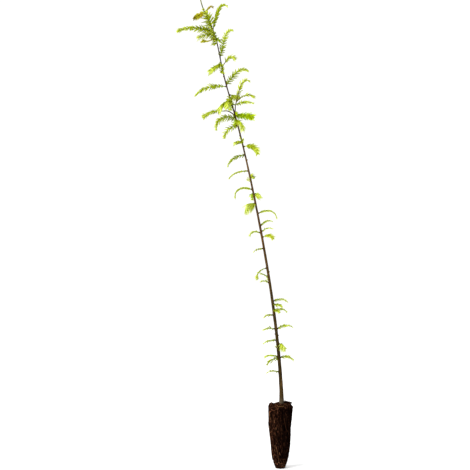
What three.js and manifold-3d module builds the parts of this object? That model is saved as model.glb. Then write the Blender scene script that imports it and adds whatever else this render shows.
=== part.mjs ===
// Dawn redwood seedling on its root plug: a slender leaning stem in its first spring leaf.
// Millimetres and degrees, +Z up. The origin is the middle of the plug's flat underside,
// +X is the viewer's right and +Y points away from the viewer.
import * as THREE from 'three';
import { mergeVertices } from 'three/addons/utils/BufferGeometryUtils.js';
import Module from 'manifold-3d';

const wasm = await Module();
wasm.setup();

// Gap that neighbouring solids keep, and how a shoot is slid to that gap from what carries it
const CLEAR = 0.3;
const SEAT = { passes: 6, reach: 5 };

// Seed of all chance, the seeds that lie between two ribs of one fan, and the recurrence
const SEED = 417;
const FORK_SEEDS = 100;
const CHANCE = { factor: 1664525, step: 1013904223, range: 2 ** 32 };

// Corners closer than this are one
const MERGE = 1e-4;

// Root plug: a tapered block of peat and roots, chamfered at its lower end. Each wave that
// roughens its side gives the lumps round the girth and the height that turns them by a radian.
const PLUG = {
  footRadius: 10,
  chamferHeight: 22,
  chamferRadius: 17.4,
  chamferShares: [0.5, 1],
  rimHeight: 141,
  rimRadius: 28.3,
  rimRounding: 3,
  soilHeight: 148.5,
  soilShares: [1, 0.62, 0.3],
  bulge: 0.8,
  lump: 0.5,
  waves: [[3, 19], [5, -13], [8, 31]],
  sides: 24,
  bands: 7,
};

// Crumbs of peat and bark on top of the plug: distance out, turn, length, width and height
const CRUMBS = [
  [19, 28, 17, 12, 10],
  [22, 350, 9, 8, 6],
  [23, 172, 10, 7, 5],
  [21, 225, 11, 8, 5],
  [20, 285, 12, 7, 4],
  [17, 100, 12, 9, 6],
];

// Stem: it stands upright at its foot, leans further to the left the higher it goes, and sways
// from side to side in ever shorter waves towards its young tip
const STEM = {
  height: 930,
  footOffset: 3.3,
  lean: 182,
  leanPower: 1.57,
  sway: 5.5,
  swayGrowth: 4,
  swayStart: 0.7,
  swayPower: 3.65,
  depthWave: 6,
  diameter: 8,
  tipDiameter: 1.5,
  taperPower: 1.4,
  flare: 1.6,
  flareHeight: 9,
  sides: 8,
  steps: 60,
  stepPower: 1.25,
};

// Dormant buds on the stem: height above the soil and turn
const BUDS = [
  [752, 185],
  [616, 180],
  [603, 350],
  [302, 5],
  [155, 0],
];
const BUD = { length: 3.6, width: 2 };

// Woody side twigs: name, height above the soil, turn, rise at the foot, bend to the tip, length
const BOUGHS = [
  ['bough_left', 662, 155, 45, 55, 32],
  ['bough_right', 665, 20, 88, 10, 22],
];
const BOUGH = { footRadius: 1.1, tipRadius: 0.8, sides: 5, steps: 8 };

// Sprays on the stem, from the top down. Each row gives the name, the height above the soil,
// the turn (0 right, 90 away, 180 left, 270 near), the rise at the foot, the bend from foot
// to tip, the length to the end needle's tip, the longest needle, the roll of the two ranks of
// needles, and the tint.
const SPRAYS = [
  ['spray_tip_left', 901, 210, -5, 32, 31, 11, 40, 'bronze'],
  ['spray_tip_right', 899, 340, 62, 80, 28, 7, 20, 'bronze'],
  ['spray_leader', 866, 232, 60, 20, 46, 13, 10, 'fresh'],
  ['spray_right_01', 861, 12, 77, 106, 84, 9, 15, 'fresh'],
  ['spray_left_01', 858, 195, 11, 25, 89, 12, 40, 'fresh'],
  ['spray_left_02', 850, 208, -8, 16, 46, 12, 30, 'pale'],
  ['spray_left_03', 842, 226, -13, 20, 53, 11, 20, 'bronze'],
  ['spray_back_01', 838, 70, 25, 60, 30, 9, 0, 'deep'],
  ['spray_right_02', 803, 20, 79, 84, 79, 10, 25, 'fresh'],
  ['spray_left_04', 772, 215, 2, 36, 39, 13, 35, 'fresh'],
  ['spray_right_03', 774, 340, 58, 86, 44, 11, 20, 'fresh'],
  ['spray_right_04', 734, 15, 53, 76, 71, 12, 25, 'fresh'],
  ['spray_left_05', 730, 160, 8, 56, 90, 12, 30, 'fresh'],
  ['spray_right_05', 710, 40, 8, 16, 38, 10, 30, 'deep'],
  ['spray_left_06', 698, 208, -14, 82, 49, 13, 20, 'fresh'],
  ['spray_front_01', 700, 264, 17, 70, 38, 13, 0, 'fresh'],
  ['spray_back_02', 690, 95, 18, 70, 50, 12, 0, 'deep'],
  ['spray_right_06', 662, 320, 9, 24, 56, 13, 35, 'fresh'],
  ['spray_left_07', 658, 200, 9, 102, 69, 11, 25, 'fresh'],
  ['spray_front_02', 653, 288, 2, 84, 48, 12, 10, 'deep'],
  ['spray_back_03', 648, 95, 20, 70, 46, 12, 0, 'deep'],
  ['spray_left_08', 641, 160, -10, 75, 50, 11, 25, 'fresh'],
  ['spray_left_09', 603, 230, 12, 42, 29, 10, 10, 'deep'],
  ['spray_right_07', 592, 318, 9, 92, 56, 13, 30, 'fresh'],
  ['spray_left_10', 573, 195, -8, 64, 54, 11, 25, 'fresh'],
  ['spray_left_11', 536, 145, 4, 52, 62, 10, 15, 'pale'],
  ['spray_back_04', 518, 75, 34, 62, 36, 10, 0, 'deep'],
  ['spray_left_12', 493, 190, 20, 110, 57, 10, 15, 'fresh'],
  ['spray_right_08', 476, 294, 40, 126, 46, 12, 15, 'fresh'],
  ['spray_back_05', 481, 95, 15, 70, 44, 11, 0, 'deep'],
  ['spray_left_13', 461, 235, 5, 86, 54, 13, 10, 'fresh'],
  ['spray_right_09', 438, 15, 28, 102, 58, 10, 20, 'fresh'],
  ['spray_right_10', 409, 30, 46, 64, 38, 9, 15, 'fresh'],
  ['spray_right_11', 396, 345, 40, 60, 31, 9, 15, 'fresh'],
  ['spray_left_14', 393, 165, 25, 84, 33, 9, 20, 'fresh'],
  ['spray_right_12', 383, 325, 28, 75, 35, 11, 25, 'deep'],
  ['spray_left_15', 357, 205, 5, 50, 30, 8, 20, 'pale'],
  ['spray_left_16', 312, 194, -12, 78, 40, 10, 20, 'pale'],
  ['spray_left_17', 292, 160, 28, 18, 30, 8, 20, 'fresh'],
  ['spray_left_18', 277, 150, 32, 60, 27, 8, 20, 'fresh'],
  ['spray_right_13', 235, 20, 24, 68, 41, 9, 15, 'fresh'],
  ['spray_right_14', 229, 325, -5, 20, 26, 8, 20, 'fresh'],
  ['spray_right_15', 212, 25, 26, 72, 37, 9, 20, 'fresh'],
  ['spray_front_03', 215, 300, 14, 50, 27, 10, 15, 'fresh'],
  ['spray_left_19', 203, 190, 16, 66, 28, 8, 20, 'pale'],
  ['spray_right_16', 171, 10, 33, 68, 43, 9, 15, 'fresh'],
  ['spray_left_20', 171, 170, 14, 42, 32, 9, 20, 'fresh'],
  ['spray_left_21', 145, 200, 8, 42, 37, 9, 20, 'fresh'],
  ['spray_front_04', 138, 318, -12, 34, 36, 13, 25, 'fresh'],
  ['spray_left_22', 107, 155, 15, 46, 37, 10, 30, 'fresh'],
  ['spray_left_23', 105, 210, -8, 40, 38, 9, 25, 'fresh'],
  ['spray_right_17', 105, 20, 14, 55, 38, 9, 15, 'fresh'],
  ['spray_left_24', 72, 200, 20, 52, 35, 9, 15, 'pale'],
];

// Sprays that the side twigs carry. The first of a twig grows on from its tip, and the rest
// fork from that one's rib, at the share of it that stands in place of the height.
const BOUGH_SPRAYS = [
  {
    name: 'spray_bough_left',
    bough: 'bough_left',
    tint: 'fresh',
    rows: [[0, 158, 6, 44, 58, 11, 25]],
  },
  {
    name: 'fan_bough_right',
    bough: 'bough_right',
    tint: 'fresh',
    rows: [
      [0, 8, 78, 106, 76, 10, 25],
      [0.1, 345, 46, 78, 50, 10, 20],
      [0.02, 330, 14, 36, 50, 10, 20],
    ],
  },
];

// A spray's rib, and the angle above which a shoot stays straight and nods only at its tip
const RIB = {
  footRadius: 0.75,
  tipRadius: 0.4,
  sides: 3,
  stepLength: 9,
  leastSteps: 4,
  steepRise: 47,
  bendPower: 1.7,
  steepBendPower: 3.5,
};

// Needles stand in opposite pairs on the two ranks of a spray
const NEEDLE = {
  pitch: 9.5,
  bareShare: 0.12,
  lastShare: 0.97,
  width: 2.4,
  thickness: 0.5,
  widestShare: 0.35,
  sunk: 0.5,
  spread: 58,
  tipSpread: 36,
  dip: 12,
  leastShare: 0.55,
  swellStart: 0.12,
  swellEnd: 0.88,
  tipShare: 0.7,
  lengthJitter: 0.12,
  angleJitter: 7,
};

// Colour and roughness of the wood and the peat, and the colour of each tint of new growth
const PEAT = { color: 0x2a1b13, roughness: 1 };
const STEM_BARK = { color: 0x6d5433, roughness: 0.75 };
const TWIG_BARK = { color: 0x7a5433, roughness: 0.75 };
const TINTS = { fresh: 0xa9bf45, deep: 0x86a034, pale: 0xb4c47c, bronze: 0x9c9142 };
const LEAF_ROUGHNESS = 0.55;

const UP = new THREE.Vector3(0, 0, 1);
const rad = THREE.MathUtils.degToRad;

// Repeatable chance: a function that returns the next number from 0 to 1
function chance(seed) {
  let state = seed >>> 0;
  return () => {
    state = (Math.imul(state, CHANCE.factor) + CHANCE.step) >>> 0;
    return state / CHANCE.range;
  };
}

// A closed three.js geometry as a solid that can be joined
function solidOf(geometry) {
  geometry.deleteAttribute('normal');
  geometry.deleteAttribute('uv');
  const merged = mergeVertices(geometry, MERGE);
  return new wasm.Manifold(new wasm.Mesh({
    numProp: 3,
    vertProperties: new Float32Array(merged.getAttribute('position').array),
    triVerts: new Uint32Array(merged.index.array),
  }));
}

// A joined solid as a three.js geometry
function geometryOf(solid) {
  const { vertProperties, triVerts } = solid.getMesh();
  const geometry = new THREE.BufferGeometry();
  geometry.setAttribute('position', new THREE.BufferAttribute(vertProperties, 3));
  geometry.setIndex(new THREE.BufferAttribute(triVerts, 1));
  geometry.computeVertexNormals();
  return geometry;
}

// Whether a solid keeps its gap to every other one
function isClear(solid, others) {
  return others.every((other) => solid.minGap(other, 2 * CLEAR) >= CLEAR);
}

// Horizontal direction at a turn about the stem
function outward(turn) {
  return new THREE.Vector3(Math.cos(rad(turn)), Math.sin(rad(turn)), 0);
}

// A cylinder bent along a line of { point, heading } steps that lies in the plane square to across
function limb(line, across, radiusAt, sides) {
  const steps = line.length - 1;
  const geometry = new THREE.CylinderGeometry(1, 1, 1, sides, steps);
  const position = geometry.getAttribute('position');
  for (let i = 0; i < position.count; i++) {
    const share = position.getY(i) + 0.5;
    const { point, heading } = line[Math.round(share * steps)];
    const radius = radiusAt(share);
    const place = point.clone()
      .addScaledVector(across, position.getX(i) * radius)
      .addScaledVector(across.clone().cross(heading), position.getZ(i) * radius);
    position.setXYZ(i, place.x, place.y, place.z);
  }
  return solidOf(geometry);
}

// Middle of the stem at a share of its height
function stemPoint(share) {
  const wave = Math.sin(Math.PI * (share / STEM.swayStart) ** STEM.swayPower);
  const sway = STEM.sway * share ** STEM.swayGrowth * wave;
  return new THREE.Vector3(
    STEM.footOffset - STEM.lean * share ** STEM.leanPower + sway,
    STEM.depthWave * Math.sin(2 * Math.PI * share),
    PLUG.soilHeight + CLEAR + STEM.height * share,
  );
}

// The stem thins from its foot to its tip, and flares out just above the soil
function stemRadius(share) {
  const taper = STEM.tipDiameter + (STEM.diameter - STEM.tipDiameter) * (1 - share) ** STEM.taperPower;
  const flare = STEM.flare * Math.exp(-share * STEM.height / STEM.flareHeight);
  return taper / 2 + flare;
}

function stemHeading(share) {
  const reach = 0.001;
  return stemPoint(share + reach).sub(stemPoint(Math.max(share - reach, 0))).normalize();
}

// Line of the stem. Its steps crowd towards the foot, where it flares, and its foot is cut level.
function stemLine() {
  return Array.from({ length: STEM.steps + 1 }, (_, step) => {
    const share = (step / STEM.steps) ** STEM.stepPower;
    return { share, point: stemPoint(share), heading: step ? stemHeading(share) : UP.clone() };
  });
}

// Where a shoot leaves the stem's surface, at a height above the soil
function shootFoot(height, turn) {
  const share = height / STEM.height;
  return stemPoint(share).addScaledVector(outward(turn), stemRadius(share));
}

// Slides a shoot along a direction until it stands just clear of what carries it
function seat(makeShoot, foot, direction, carrier) {
  const place = foot.clone();
  let shoot = makeShoot(place);
  for (let pass = 0; pass < SEAT.passes; pass++) {
    place.addScaledVector(direction, CLEAR - shoot.solid.minGap(carrier, SEAT.reach));
    shoot = makeShoot(place);
  }
  return shoot;
}

// Line of a shoot: it rises from its foot, and bends down towards its tip
function shootLine(foot, turn, rise, bend, length, steps) {
  const power = rise > RIB.steepRise ? RIB.steepBendPower : RIB.bendPower;
  const headingAt = (share) => {
    const slope = rad(rise - bend * share ** power);
    return outward(turn).multiplyScalar(Math.cos(slope)).addScaledVector(UP, Math.sin(slope));
  };
  const line = [{ point: foot.clone(), heading: headingAt(0) }];
  for (let step = 1; step <= steps; step++) {
    const point = line[step - 1].point.clone();
    point.addScaledVector(headingAt((step - 0.5) / steps), length / steps);
    line.push({ point, heading: headingAt(step / steps) });
  }
  return line;
}

// Point and heading at any share of a line
function along(line, share) {
  const place = share * (line.length - 1);
  const step = Math.min(Math.floor(place), line.length - 2);
  const point = line[step].point.clone().lerp(line[step + 1].point, place - step);
  const heading = line[step].heading.clone().lerp(line[step + 1].heading, place - step).normalize();
  return { point, heading };
}

// One needle: a flat kite of eight faces, broadest near its root
function needle(root, direction, flat, length) {
  const geometry = new THREE.OctahedronGeometry(1);
  const position = geometry.getAttribute('position');
  for (let i = 0; i < position.count; i++) {
    const x = position.getX(i);
    position.setX(i, x > 0 ? x * (1 - NEEDLE.widestShare) : x * NEEDLE.widestShare);
  }
  const normal = flat.clone().addScaledVector(direction, -flat.dot(direction)).normalize();
  const side = normal.clone().cross(direction);
  geometry.scale(length, NEEDLE.width / 2, NEEDLE.thickness / 2);
  geometry.applyMatrix4(new THREE.Matrix4().makeBasis(direction, side, normal));
  const middle = root.clone().addScaledVector(direction, NEEDLE.widestShare * length - NEEDLE.sunk);
  geometry.translate(middle.x, middle.y, middle.z);
  return solidOf(geometry);
}

// All needles that a rib could carry, in opposite pairs, with one at its very tip
function needlesOf(rib) {
  const random = chance(rib.seed);
  const jitter = (size) => (random() * 2 - 1) * size;
  const pairs = Math.max(2, Math.round(rib.length * (1 - NEEDLE.bareShare) / NEEDLE.pitch));
  const needles = [];
  for (let pair = 0; pair <= pairs; pair++) {
    const grown = pair / pairs;
    const share = NEEDLE.bareShare + (1 - NEEDLE.bareShare) * NEEDLE.lastShare * grown;
    const { point, heading } = along(rib.line, share);
    const flat = heading.clone().cross(rib.across);
    const rank = rib.across.clone().applyAxisAngle(heading, rad(rib.roll));
    const rankFlat = flat.clone().applyAxisAngle(heading, rad(rib.roll));
    const swelling = NEEDLE.swellStart + (NEEDLE.swellEnd - NEEDLE.swellStart) * grown;
    const swell = NEEDLE.leastShare + (1 - NEEDLE.leastShare) * Math.sin(Math.PI * swelling);
    const meanSpread = NEEDLE.spread + (NEEDLE.tipSpread - NEEDLE.spread) * grown;
    for (const side of pair < pairs ? [1, -1] : [0]) {
      const spread = rad(meanSpread + jitter(NEEDLE.angleJitter));
      const dip = rad(NEEDLE.dip + jitter(NEEDLE.angleJitter));
      const direction = heading.clone().multiplyScalar(side ? Math.cos(spread) : 1)
        .addScaledVector(rank, side * Math.sin(spread))
        .addScaledVector(rankFlat, -Math.sin(dip))
        .normalize();
      const length = rib.needleLength * swell * (1 + jitter(NEEDLE.lengthJitter));
      needles.push(needle(point, direction, rankFlat, length));
    }
  }
  return needles;
}

// A spray's rib as a solid, with what its needles grow from
function makeRib(foot, turn, rise, bend, length, needleLength, roll, seed) {
  const ribLength = length - NEEDLE.tipShare * needleLength;
  const steps = Math.max(RIB.leastSteps, Math.round(ribLength / RIB.stepLength));
  const line = shootLine(foot, turn, rise, bend, ribLength, steps);
  const across = UP.clone().cross(outward(turn));
  const radiusAt = (share) => RIB.footRadius + (RIB.tipRadius - RIB.footRadius) * share;
  const solid = limb(line, across, radiusAt, RIB.sides);
  return { solid, line, across, length: ribLength, needleLength, roll, seed };
}

// A woody side twig as a solid, with the tip that its sprays grow from
function makeBough(foot, turn, rise, bend, length) {
  const line = shootLine(foot, turn, rise, bend, length, BOUGH.steps);
  const across = UP.clone().cross(outward(turn));
  const radiusAt = (share) => BOUGH.footRadius + (BOUGH.tipRadius - BOUGH.footRadius) * share;
  return { solid: limb(line, across, radiusAt, BOUGH.sides), tip: line[BOUGH.steps] };
}

function makeStem() {
  const line = stemLine();
  const across = new THREE.Vector3(0, 1, 0);
  const radiusAt = (share) => stemRadius(line[Math.round(share * STEM.steps)].share);
  let stem = limb(line, across, radiusAt, STEM.sides);
  for (const [height, turn] of BUDS) {
    const share = height / STEM.height;
    const bud = new THREE.OctahedronGeometry(1);
    bud.scale(BUD.width / 2, BUD.width / 2, BUD.length / 2);
    const place = stemPoint(share).addScaledVector(outward(turn), stemRadius(share));
    bud.translate(place.x, place.y, place.z);
    stem = stem.add(solidOf(bud));
  }
  return stem;
}

// Half width of the plug at a height, from its foot up to its rim
function plugRadius(height) {
  if (height < PLUG.chamferHeight) {
    return PLUG.footRadius + (PLUG.chamferRadius - PLUG.footRadius) * height / PLUG.chamferHeight;
  }
  const share = (height - PLUG.chamferHeight) / (PLUG.rimHeight - PLUG.chamferHeight);
  return PLUG.chamferRadius + (PLUG.rimRadius - PLUG.chamferRadius) * share ** PLUG.bulge;
}

// Height of the soil on top of the plug at a distance from its middle
function soilHeight(out) {
  const edge = PLUG.rimRadius - PLUG.rimRounding;
  const fall = PLUG.soilHeight - PLUG.rimHeight - PLUG.rimRounding;
  return PLUG.soilHeight - fall * (out / edge) ** 2;
}

function makePlug() {
  const profile = [new THREE.Vector2(0, 0), new THREE.Vector2(PLUG.footRadius, 0)];
  for (const share of PLUG.chamferShares) {
    const height = share * PLUG.chamferHeight;
    profile.push(new THREE.Vector2(plugRadius(height), height));
  }
  for (let band = 1; band <= PLUG.bands; band++) {
    const height = PLUG.chamferHeight + (PLUG.rimHeight - PLUG.chamferHeight) * band / PLUG.bands;
    profile.push(new THREE.Vector2(plugRadius(height), height));
  }
  const edge = PLUG.rimRadius - PLUG.rimRounding;
  for (const share of PLUG.soilShares) {
    profile.push(new THREE.Vector2(edge * share, soilHeight(edge * share)));
  }
  profile.push(new THREE.Vector2(0, PLUG.soilHeight));
  const geometry = new THREE.LatheGeometry(profile, PLUG.sides);
  geometry.rotateX(Math.PI / 2);
  roughen(geometry);
  let plug = solidOf(geometry);
  for (const crumb of CRUMBS) {
    plug = plug.add(makeCrumb(crumb));
  }
  return plug;
}

// Shallow lumps and hollows round the plug's side, dying out at its flat foot and its top
function roughen(geometry) {
  const position = geometry.getAttribute('position');
  for (let i = 0; i < position.count; i++) {
    const [x, y, z] = [position.getX(i), position.getY(i), position.getZ(i)];
    const turn = Math.atan2(y, x);
    const fade = Math.min(1, z / PLUG.chamferHeight) * Math.min(1, Math.hypot(x, y) / PLUG.footRadius);
    const waves = PLUG.waves.map(([lumps, height]) => Math.sin(lumps * turn + z / height));
    const scale = 1 + fade * PLUG.lump * waves.reduce((sum, wave) => sum + wave) / PLUG.rimRadius;
    position.setXY(i, x * scale, y * scale);
  }
}

function makeCrumb([out, turn, length, width, height]) {
  const geometry = new THREE.IcosahedronGeometry(1);
  geometry.scale(width / 2, length / 2, height / 2);
  geometry.rotateZ(rad(turn));
  const place = outward(turn).multiplyScalar(out);
  geometry.translate(place.x, place.y, soilHeight(out));
  return solidOf(geometry);
}

// Woody parts first, then every rib, so that a needle can keep clear of them all
const stem = makeStem();
const plug = makePlug();
const boughs = new Map();
for (const [name, height, turn, ...sizes] of BOUGHS) {
  const makeShoot = (place) => makeBough(place, turn, ...sizes);
  boughs.set(name, seat(makeShoot, shootFoot(height, turn), outward(turn), stem));
}
const wood = [stem, plug, ...[...boughs.values()].map((bough) => bough.solid)];

const masses = [];
for (const [name, height, turn, rise, bend, length, needleLength, roll, tint] of SPRAYS) {
  const seed = SEED + masses.length;
  const makeShoot = (place) => makeRib(place, turn, rise, bend, length, needleLength, roll, seed);
  const rib = seat(makeShoot, shootFoot(height, turn), outward(turn), stem);
  masses.push({ name, tint, ribs: [rib] });
}
for (const { name, bough, tint, rows } of BOUGH_SPRAYS) {
  const carrier = boughs.get(bough);
  const ribs = [];
  for (const [fork, ...sizes] of rows) {
    const seed = SEED + masses.length + FORK_SEEDS * ribs.length;
    const makeShoot = (place) => makeRib(place, ...sizes, seed);
    const rib = ribs.length
      ? makeShoot(along(ribs[0].line, fork).point)
      : seat(makeShoot, carrier.tip.point, carrier.tip.heading, carrier.solid);
    ribs.push(rib);
  }
  masses.push({ name, tint, ribs });
}

// Each mass is its ribs with the needles that stay clear of the wood and of the other masses
for (const mass of masses) {
  const others = masses.filter((other) => other !== mass)
    .flatMap((other) => other.solid ? [other.solid] : other.ribs.map((rib) => rib.solid));
  const needles = mass.ribs.flatMap(needlesOf).filter((one) => isClear(one, [...wood, ...others]));
  mass.solid = [...mass.ribs.map((rib) => rib.solid), ...needles].reduce((whole, one) => whole.add(one));
}

const seedling = new THREE.Group();
seedling.name = 'dawn_redwood_seedling';

function addMesh(name, solid, finish) {
  const mesh = new THREE.Mesh(geometryOf(solid), new THREE.MeshStandardMaterial(finish));
  mesh.name = name;
  seedling.add(mesh);
}

addMesh('root_plug', plug, PEAT);
addMesh('stem', stem, STEM_BARK);
for (const [name, bough] of boughs) {
  addMesh(name, bough.solid, TWIG_BARK);
}
for (const mass of masses) {
  addMesh(mass.name, mass.solid, { color: TINTS[mass.tint], roughness: LEAF_ROUGHNESS });
}

export default seedling;
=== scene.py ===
# %% [markdown]
# # A dawn redwood seedling on its root plug
# The plant is a one-year dawn redwood in its first spring leaf: a thin whip that leans to the left, soft
# feathery sprays all along it, and the dark plug of peat and roots that it was raised in. Its plain solids
# come in as a fixed frame. This lesson dresses them: bark with relief, needles by the thousand, peat and
# roots. Stem and sprays grow by much the same rules as their solids, only finer. Most sprays stay on the
# ribs of their solids, and the rest are turned, bent or moved to stand more as the real ones do.

# %% The frame of plain solids
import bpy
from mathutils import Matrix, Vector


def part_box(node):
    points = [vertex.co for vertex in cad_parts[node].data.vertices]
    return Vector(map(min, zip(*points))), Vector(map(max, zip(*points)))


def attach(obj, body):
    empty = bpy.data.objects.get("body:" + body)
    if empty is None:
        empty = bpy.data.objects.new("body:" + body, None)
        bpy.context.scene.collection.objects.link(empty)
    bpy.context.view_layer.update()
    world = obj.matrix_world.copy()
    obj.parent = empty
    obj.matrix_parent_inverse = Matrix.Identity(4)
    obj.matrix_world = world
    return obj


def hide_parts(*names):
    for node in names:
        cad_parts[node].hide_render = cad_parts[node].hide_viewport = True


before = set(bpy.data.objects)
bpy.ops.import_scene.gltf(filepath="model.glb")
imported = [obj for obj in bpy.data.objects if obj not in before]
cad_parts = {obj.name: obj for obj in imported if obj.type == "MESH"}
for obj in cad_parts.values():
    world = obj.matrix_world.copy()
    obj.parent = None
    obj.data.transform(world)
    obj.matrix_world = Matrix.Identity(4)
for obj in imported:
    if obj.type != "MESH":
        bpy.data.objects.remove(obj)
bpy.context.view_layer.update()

# %% Tools and units
import math
import random
from collections import namedtuple
from itertools import product

import bmesh
import bpy
import numpy as np
from mathutils import Matrix, Vector, noise

MM = 0.001
UP = Vector((0, 0, 1))
AWAY = Vector((0, 1, 0))
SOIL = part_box("stem")[0].z / MM
print("the plant's sizes are in millimetres, and its soil lies at", round(SOIL, 2))

# %% [markdown]
# ## How a mesh becomes a piece
# A bmesh is worked on in millimetres, because that is how a seedling is measured, and is scaled to metres
# in its vertices at the end, so that the object itself sits at the origin unscaled. The piece then rides on
# the plant's one body, takes its finishes, and hides the solids that it stands for.

# %% Settling a piece on the plant
def put(name, data):
    thing = bpy.data.objects.new(name, data)
    bpy.context.scene.collection.objects.link(thing)
    return thing


def settle(mesh, finishes, nodes=()):
    for finish in finishes:
        mesh.materials.append(finish)
    mesh.polygons.foreach_set("use_smooth", [True] * len(mesh.polygons))
    mesh.update()
    piece = put(mesh.name, mesh)
    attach(piece, "root")
    if nodes:
        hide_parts(*nodes)
    mesh.calc_loop_triangles()
    print(mesh.name, "has", len(mesh.loop_triangles), "triangles and stands for", len(nodes), "solids")


def cast(bm, name, finishes, nodes=()):
    bmesh.ops.scale(bm, vec=(MM, MM, MM), verts=bm.verts)
    mesh = bpy.data.meshes.new(name)
    bm.to_mesh(mesh)
    bm.free()
    settle(mesh, finishes, nodes)

# %% [markdown]
# ## Shader maths as plain Python
# A finish with a pattern is a web of nodes. Wiring them one by one is long to read, so one small class
# stands for a socket: adding or multiplying two of them makes the Math node, and one method makes any
# other node from its settings and its inputs.

# %% A socket that can be reckoned with
class Wire:
    def __init__(self, tree, socket):
        self.tree = tree
        self.socket = socket

    def node(self, kind, settings=None, inputs=None, out=0):
        made = self.tree.nodes.new(kind)
        for name, value in (settings or {}).items():
            if name == "stops":
                lay_stops(made.color_ramp, value)
            else:
                setattr(made, name, value)
        for key, value in (inputs or {}).items():
            if isinstance(value, Wire):
                self.tree.links.new(value.socket, made.inputs[key])
            else:
                made.inputs[key].default_value = value
        return Wire(self.tree, made.outputs[out])

    def reckon(self, operation, first, second):
        return self.node("ShaderNodeMath", {"operation": operation}, {0: first, 1: second})

    def __add__(self, other):
        return self.reckon("ADD", self, other)

    def __rsub__(self, other):
        return self.reckon("SUBTRACT", other, self)

    def __mul__(self, other):
        return self.reckon("MULTIPLY", self, other)

    __radd__ = __add__
    __rmul__ = __mul__


def lay_stops(ramp, stops):
    while len(ramp.elements) < len(stops):
        ramp.elements.new(1)
    for element, (place, color) in zip(ramp.elements, stops):
        element.position = place
        element.color = color

# %% Plain finishes
def paint(red, green, blue):
    """A colour as a painter's chart gives it, from 0 to 255, as the light that it reflects."""
    shares = [value / 255 for value in (red, green, blue)]
    light = [s / 12.92 if s <= 0.04045 else ((s + 0.055) / 1.055) ** 2.4 for s in shares]
    return (*light, 1)


def plain_finish(name, color, roughness, gloss):
    material = bpy.data.materials.new(name)
    material.use_nodes = True
    shader = material.node_tree.nodes["Principled BSDF"]
    shader.inputs["Base Color"].default_value = color
    shader.inputs["Roughness"].default_value = roughness
    shader.inputs["Specular IOR Level"].default_value = gloss
    return material


def finish_set(name, colors, roughness, gloss):
    """Plain finishes alike but for their colour, whose keys fill the gap in the name."""
    return [plain_finish(name.format(key), color, roughness, gloss) for key, color in colors.items()]

# %% The wires of a patterned finish
def place_on(material):
    coordinates = material.node_tree.nodes.new("ShaderNodeTexCoord")
    return Wire(material.node_tree, coordinates.outputs["Object"])


def feed(material, **sockets):
    shader = material.node_tree.nodes["Principled BSDF"]
    for name, wire in sockets.items():
        material.node_tree.links.new(wire.socket, shader.inputs[name.replace("_", " ")])


def coordinate(place, axis):
    return place.node("ShaderNodeSeparateXYZ", None, {0: place}, out=axis)


def mask(pattern, start, end):
    """Where a pattern passes from start to end, as a share from 0 to 1."""
    return pattern.node("ShaderNodeMapRange", {"clamp": True}, {0: pattern, 1: start, 2: end})


def speckle(place, size, detail, stretch=1):
    """Noise whose grains are about this many millimetres wide, and longer upwards by the stretch."""
    drawn_out = place.node("ShaderNodeMapping", None, {"Vector": place, "Scale": (1, 1, 1 / stretch)})
    inputs = {"Vector": drawn_out, "Scale": 1 / (size * MM), "Detail": detail}
    return place.node("ShaderNodeTexNoise", None, inputs)


def bumped(pattern, strength, depth):
    inputs = {"Height": pattern, "Strength": strength, "Distance": depth * MM}
    return pattern.node("ShaderNodeBump", None, inputs)


def blend(share, first, second):
    settings = {"data_type": "RGBA", "clamp_factor": True}
    return share.node("ShaderNodeMix", settings, {0: share, 6: first, 7: second}, out=2)

# %% [markdown]
# ## The line of the stem
# A young whip never grows quite straight. This one stands upright in its plug, leans further the higher it
# goes, and sways in ever shorter waves towards its soft tip. A curve drawn by hand would do, but a formula
# with a few named sizes lets every shoot ask where the bark is at its own height.

# %% Stem sizes and the line it follows
STEM_HEIGHT = 930
FOOT_OFFSET = 3.3
LEAN, LEAN_POWER = 182, 1.57
SWAY, SWAY_GROWTH, SWAY_START, SWAY_POWER = 5.5, 4, 0.7, 3.65
DEPTH_WAVE = 6
STEM_DIAMETER, TIP_DIAMETER, TAPER_POWER = 8, 1.5, 1.4
FLARE, FLARE_HEIGHT = 1.6, 9


def stem_point(share):
    wave = math.sin(math.pi * (share / SWAY_START) ** SWAY_POWER)
    sway = SWAY * share ** SWAY_GROWTH * wave
    depth = DEPTH_WAVE * math.sin(2 * math.pi * share)
    return Vector((FOOT_OFFSET - LEAN * share ** LEAN_POWER + sway, depth, SOIL + STEM_HEIGHT * share))


def stem_radius(share):
    taper = TIP_DIAMETER + (STEM_DIAMETER - TIP_DIAMETER) * (1 - share) ** TAPER_POWER
    return taper / 2 + FLARE * math.exp(-share * STEM_HEIGHT / FLARE_HEIGHT)


def stem_heading(share, reach=0.001):
    return (stem_point(share + reach) - stem_point(max(share - reach, 0))).normalized()


print("the tip stands", round(stem_point(0).x - stem_point(1).x), "mm to the left of the foot")

# %% [markdown]
# ## Shoots and where they grow
# Each spray is a shoot with its own height on the stem, turn round it, rise, bend and length. The table is
# the grower's note of this one plant, roughly from the tip down. A shoot's line starts under the bark,
# sets off by its rise and turns by its bend. Steep shoots stay straight for longer and only nod at the end.

# %% The sprays of this plant
def rows_of(table):
    """The rows of a plain table, with its numbers as numbers."""
    rows = [line.split() for line in table.strip().splitlines()]
    return [[word if word[0].isalpha() else float(word) for word in row] for row in rows]


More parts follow.
